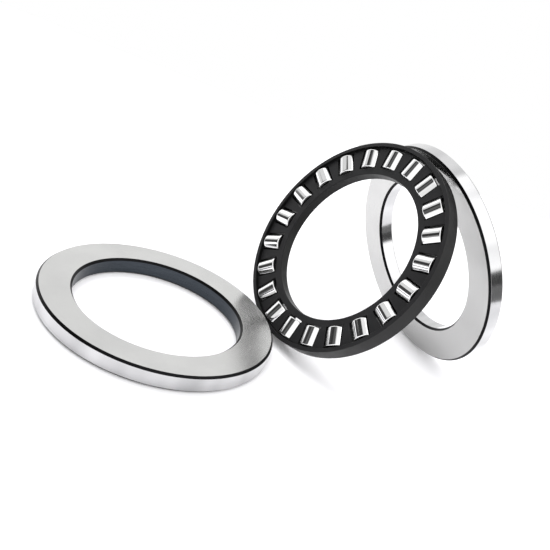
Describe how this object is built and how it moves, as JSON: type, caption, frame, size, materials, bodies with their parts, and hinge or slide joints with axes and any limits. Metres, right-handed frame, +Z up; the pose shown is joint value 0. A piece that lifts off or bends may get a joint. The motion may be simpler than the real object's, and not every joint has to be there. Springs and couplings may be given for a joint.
{
  "type": "cylindrical roller thrust bearing",
  "caption": "Separable thrust bearing for axial loads: two flat ground steel washers and a black moulded cage of short cylindrical rollers, laid apart to show its pieces.",
  "frame": {"origin": "on the surface that the laid-out part rests on, under the middle of its overall box", "axes": "+Z up, along the housing washer's axis; +X to the right along the layout's longest side, from the housing washer towards the shaft washer; +Y away from the viewer"},
  "size_m": [0.2144, 0.182, 0.11],
  "materials": {
    "ground_steel": "fine ground, satin",
    "roller_steel": "lapped, mirror polished",
    "black_plastic": "moulded, low sheen"
  },
  "bodies": {
    "housing_washer": {"housing_washer": "ground_steel"},
    "shaft_washer": {"shaft_washer": "ground_steel"},
    "cage": {"cage": "black_plastic"},
    "roller_01": {"roller_01": "roller_steel"},
    "roller_02": {"roller_02": "roller_steel"},
    "roller_03": {"roller_03": "roller_steel"},
    "roller_04": {"roller_04": "roller_steel"},
    "roller_05": {"roller_05": "roller_steel"},
    "roller_06": {"roller_06": "roller_steel"},
    "roller_07": {"roller_07": "roller_steel"},
    "roller_08": {"roller_08": "roller_steel"},
    "roller_09": {"roller_09": "roller_steel"},
    "roller_10": {"roller_10": "roller_steel"},
    "roller_11": {"roller_11": "roller_steel"},
    "roller_12": {"roller_12": "roller_steel"},
    "roller_13": {"roller_13": "roller_steel"},
    "roller_14": {"roller_14": "roller_steel"},
    "roller_15": {"roller_15": "roller_steel"},
    "roller_16": {"roller_16": "roller_steel"},
    "roller_17": {"roller_17": "roller_steel"},
    "roller_18": {"roller_18": "roller_steel"},
    "roller_19": {"roller_19": "roller_steel"},
    "roller_20": {"roller_20": "roller_steel"},
    "roller_21": {"roller_21": "roller_steel"}
  },
  "joints": [
    {"name": "shaft_washer_spin", "type": "hinge", "parent": "housing_washer", "child": "shaft_washer", "pos_m": [0.06661, 0.04172, 0.05499], "axis": [-0.7485, -0.5641, -0.3486], "continuous": true},
    {"name": "cage_spin", "type": "hinge", "parent": "housing_washer", "child": "cage", "pos_m": [0.02541, 0.01122, 0.05343], "axis": [-0.7116, -0.554, 0.4321], "continuous": true},
    {"name": "roller_01_spin", "type": "hinge", "parent": "cage", "child": "roller_01", "pos_m": [0.01438, -0.00834, 0.00949], "axis": [-0.2279, -0.3997, -0.8879], "continuous": true},
    {"name": "roller_02_spin", "type": "hinge", "parent": "cage", "child": "roller_02", "pos_m": [0.02454, -0.01806, 0.01377], "axis": [-0.0219, -0.5972, -0.8018], "continuous": true},
    {"name": "roller_03_spin", "type": "hinge", "parent": "cage", "child": "roller_03", "pos_m": [0.03479, -0.02514, 0.02156], "axis": [0.186, -0.7416, -0.6445], "continuous": true},
    {"name": "roller_04_spin", "type": "hinge", "parent": "cage", "child": "roller_04", "pos_m": [0.04418, -0.02894, 0.03217], "axis": [0.3775, -0.8202, -0.4299], "continuous": true},
    {"name": "roller_05_spin", "type": "hinge", "parent": "cage", "child": "roller_05", "pos_m": [0.05189, -0.02914, 0.04461], "axis": [0.5353, -0.8258, -0.1772], "continuous": true},
    {"name": "roller_06_spin", "type": "hinge", "parent": "cage", "child": "roller_06", "pos_m": [0.05724, -0.02574, 0.05778], "axis": [0.6457, -0.7581, 0.0914], "continuous": true},
    {"name": "roller_07_spin", "type": "hinge", "parent": "cage", "child": "roller_07", "pos_m": [0.05976, -0.01906, 0.07049], "axis": [0.6986, -0.6231, 0.3518], "continuous": true},
    {"name": "roller_08_spin", "type": "hinge", "parent": "cage", "child": "roller_08", "pos_m": [0.05925, -0.00971, 0.08164], "axis": [0.6895, -0.4326, 0.5809], "continuous": true},
    {"name": "roller_09_spin", "type": "hinge", "parent": "cage", "child": "roller_09", "pos_m": [0.05578, 0.00146, 0.09024], "axis": [0.6191, -0.2037, 0.7584], "continuous": true},
    {"name": "roller_10_spin", "type": "hinge", "parent": "cage", "child": "roller_10", "pos_m": [0.04965, 0.01349, 0.09557], "axis": [0.4937, 0.0432, 0.8686], "continuous": true},
    {"name": "roller_11_spin", "type": "hinge", "parent": "cage", "child": "roller_11", "pos_m": [0.04141, 0.02532, 0.09716], "axis": [0.3244, 0.2864, 0.9015], "continuous": true},
    {"name": "roller_12_spin", "type": "hinge", "parent": "cage", "child": "roller_12", "pos_m": [0.03177, 0.03592, 0.09488], "axis": [0.1264, 0.5041, 0.8544], "continuous": true},
    {"name": "roller_13_spin", "type": "hinge", "parent": "cage", "child": "roller_13", "pos_m": [0.02158, 0.04437, 0.08893], "axis": [-0.083, 0.677, 0.7313], "continuous": true},
    {"name": "roller_14_spin", "type": "hinge", "parent": "cage", "child": "roller_14", "pos_m": [0.01172, 0.04992, 0.07981], "axis": [-0.2849, 0.7897, 0.5433], "continuous": true},
    {"name": "roller_15_spin", "type": "hinge", "parent": "cage", "child": "roller_15", "pos_m": [0.00306, 0.05207, 0.06831], "axis": [-0.4616, 0.8323, 0.307], "continuous": true},
    {"name": "roller_16_spin", "type": "hinge", "parent": "cage", "child": "roller_16", "pos_m": [-0.00363, 0.05062, 0.05543], "axis": [-0.5972, 0.8009, 0.0434], "continuous": true},
    {"name": "roller_17_spin", "type": "hinge", "parent": "cage", "child": "roller_17", "pos_m": [-0.00774, 0.04567, 0.0423], "axis": [-0.6797, 0.6984, -0.2241], "continuous": true},
    {"name": "roller_18_spin", "type": "hinge", "parent": "cage", "child": "roller_18", "pos_m": [-0.0089, 0.03764, 0.03011], "axis": [-0.7019, 0.5338, -0.4716], "continuous": true},
    {"name": "roller_19_spin", "type": "hinge", "parent": "cage", "child": "roller_19", "pos_m": [-0.00697, 0.02724, 0.01994], "axis": [-0.6617, 0.3218, -0.6772], "continuous": true},
    {"name": "roller_20_spin", "type": "hinge", "parent": "cage", "child": "roller_20", "pos_m": [-0.00213, 0.01539, 0.01273], "axis": [-0.5627, 0.0812, -0.8227], "continuous": true},
    {"name": "roller_21_spin", "type": "hinge", "parent": "cage", "child": "roller_21", "pos_m": [0.00521, 0.00316, 0.00914], "axis": [-0.4137, -0.1667, -0.895], "continuous": true}
  ],
  "couplings": [
    {"joint": "cage_spin", "follows": "shaft_washer_spin", "ratio": 0.5},
    {"joint": "roller_01_spin", "follows": "shaft_washer_spin", "ratio": 4.9},
    {"joint": "roller_02_spin", "follows": "shaft_washer_spin", "ratio": 4.9},
    {"joint": "roller_03_spin", "follows": "shaft_washer_spin", "ratio": 4.9},
    {"joint": "roller_04_spin", "follows": "shaft_washer_spin", "ratio": 4.9},
    {"joint": "roller_05_spin", "follows": "shaft_washer_spin", "ratio": 4.9},
    {"joint": "roller_06_spin", "follows": "shaft_washer_spin", "ratio": 4.9},
    {"joint": "roller_07_spin", "follows": "shaft_washer_spin", "ratio": 4.9},
    {"joint": "roller_08_spin", "follows": "shaft_washer_spin", "ratio": 4.9},
    {"joint": "roller_09_spin", "follows": "shaft_washer_spin", "ratio": 4.9},
    {"joint": "roller_10_spin", "follows": "shaft_washer_spin", "ratio": 4.9},
    {"joint": "roller_11_spin", "follows": "shaft_washer_spin", "ratio": 4.9},
    {"joint": "roller_12_spin", "follows": "shaft_washer_spin", "ratio": 4.9},
    {"joint": "roller_13_spin", "follows": "shaft_washer_spin", "ratio": 4.9},
    {"joint": "roller_14_spin", "follows": "shaft_washer_spin", "ratio": 4.9},
    {"joint": "roller_15_spin", "follows": "shaft_washer_spin", "ratio": 4.9},
    {"joint": "roller_16_spin", "follows": "shaft_washer_spin", "ratio": 4.9},
    {"joint": "roller_17_spin", "follows": "shaft_washer_spin", "ratio": 4.9},
    {"joint": "roller_18_spin", "follows": "shaft_washer_spin", "ratio": 4.9},
    {"joint": "roller_19_spin", "follows": "shaft_washer_spin", "ratio": 4.9},
    {"joint": "roller_20_spin", "follows": "shaft_washer_spin", "ratio": 4.9},
    {"joint": "roller_21_spin", "follows": "shaft_washer_spin", "ratio": 4.9}
  ]
}
